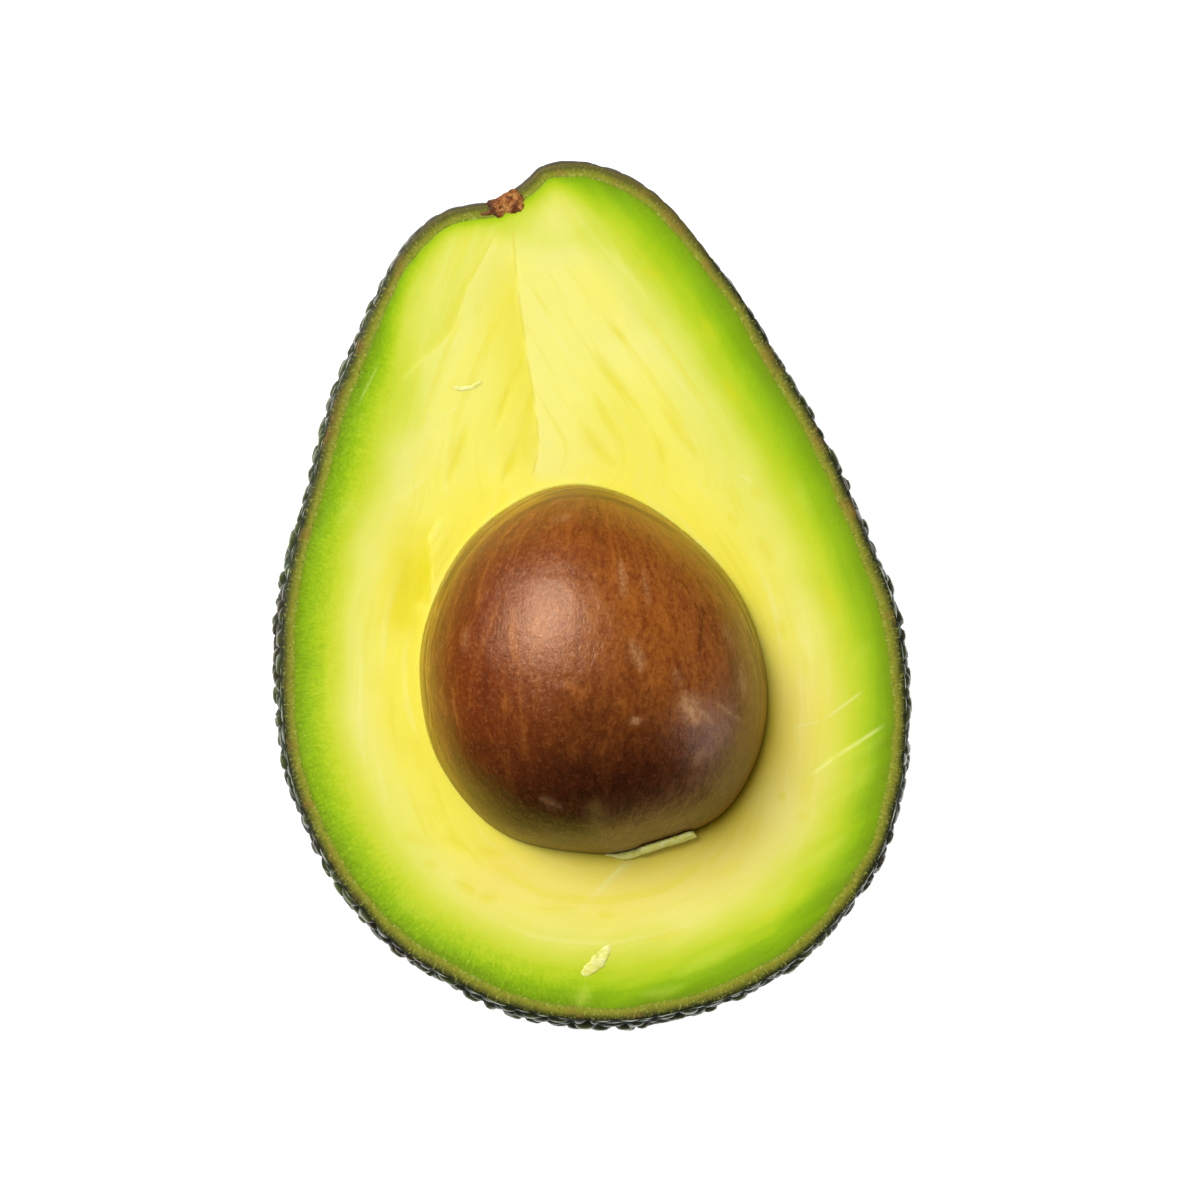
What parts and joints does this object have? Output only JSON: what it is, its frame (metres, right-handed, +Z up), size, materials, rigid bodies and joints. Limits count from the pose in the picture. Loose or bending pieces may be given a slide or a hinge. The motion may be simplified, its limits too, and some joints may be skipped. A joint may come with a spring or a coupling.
{
  "type": "avocado half",
  "caption": "Half of a ripe dark-skinned avocado, cut lengthways with its pit left in, lying on its back with the cut face up.",
  "frame": {"origin": "on the resting surface, under the middle of the fruit's outline", "axes": "+Z up, out of the cut face; +Y along the fruit to its stem end; +X to the right of the cut face seen from above"},
  "size_m": [0.0712, 0.0968, 0.0554],
  "materials": {
    "peel": "pebbled, waxy, dark green to brown, with an olive-yellow cut edge",
    "flesh": "soft, slightly moist, butter yellow shading to green at the peel",
    "pit": "smooth, moist, brown with a satin gloss",
    "stem": "dry and corky, tan to grey-brown",
    "scraps": "pale, moist crumbs of flesh"
  },
  "bodies": {
    "root": {"peel": "peel", "flesh": "flesh", "pit": "pit", "stem_stub": "stem", "flesh_shaving": "scraps", "flesh_crumb": "scraps", "flesh_sliver": "scraps"}
  },
  "joints": []
}
